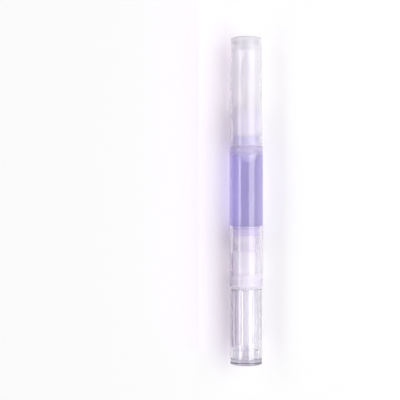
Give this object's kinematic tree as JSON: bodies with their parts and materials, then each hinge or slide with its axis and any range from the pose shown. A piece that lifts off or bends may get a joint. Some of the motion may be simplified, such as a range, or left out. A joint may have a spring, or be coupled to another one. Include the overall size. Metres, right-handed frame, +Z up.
{
  "type": "nail oil pen",
  "caption": "Clear twist-up cosmetic pen with a frosted cap, a brush under it, tinted oil in the barrel, a piston on a screw rod and a clear turning knob at the end.",
  "frame": {"origin": "midpoint of the pen's length and width, on the surface that its barrel lies on", "axes": "+Y along the pen from the knob to the cap, +Z up from the surface, +X to the right when the cap points away"},
  "size_m": [0.0138, 0.135, 0.0139],
  "materials": {
    "cap_frosted": "frosted translucent polypropylene, satin",
    "liner_plastic": "soft natural polyethylene",
    "brush_hair": "fine white nylon hair",
    "nozzle_plastic": "smooth natural polypropylene",
    "barrel_clear": "clear plastic with a faint milky cast, glossy",
    "oil_lavender": "transparent lavender oil",
    "mechanism_plastic": "natural translucent polypropylene",
    "rod_plastic": "smooth white acetal",
    "knob_crystal": "crystal-clear styrene, polished"
  },
  "bodies": {
    "barrel": {"barrel": "barrel_clear", "neck_plug": "nozzle_plastic", "brush_nozzle": "nozzle_plastic", "brush_tuft": "brush_hair", "feed_tube": "nozzle_plastic", "oil_charge": "oil_lavender", "guide_nut": "mechanism_plastic", "ratchet_ring": "mechanism_plastic", "retaining_bush": "mechanism_plastic"},
    "cap": {"cap": "cap_frosted", "cap_inner_plug": "liner_plastic"},
    "knob": {"knob": "knob_crystal", "end_plug": "knob_crystal", "drive_tube": "mechanism_plastic", "click_ring": "mechanism_plastic"},
    "rod": {"screw_rod": "rod_plastic"},
    "piston": {"piston": "mechanism_plastic"}
  },
  "joints": [
    {"name": "cap_pull", "type": "slide", "parent": "barrel", "child": "cap", "axis": [0, 1, 0], "range_m": [0, 0.046]},
    {"name": "knob_turn", "type": "hinge", "parent": "barrel", "child": "knob", "pos_m": [0, -0.0363, 0.00695], "axis": [0, 1, 0], "range_deg": [0, 4320], "deforming": ["click_ring"]},
    {"name": "rod_feed", "type": "slide", "parent": "knob", "child": "rod", "axis": [0, 1, 0], "range_m": [0, 0.03]},
    {"name": "piston_slide", "type": "slide", "parent": "barrel", "child": "piston", "axis": [0, 1, 0], "range_m": [0, 0.03], "deforming": ["oil_charge"]}
  ],
  "couplings": [
    {"joint": "rod_feed", "follows": "knob_turn", "m_per_rad": 0.00039789},
    {"joint": "piston_slide", "follows": "knob_turn", "m_per_rad": 0.00039789}
  ]
}
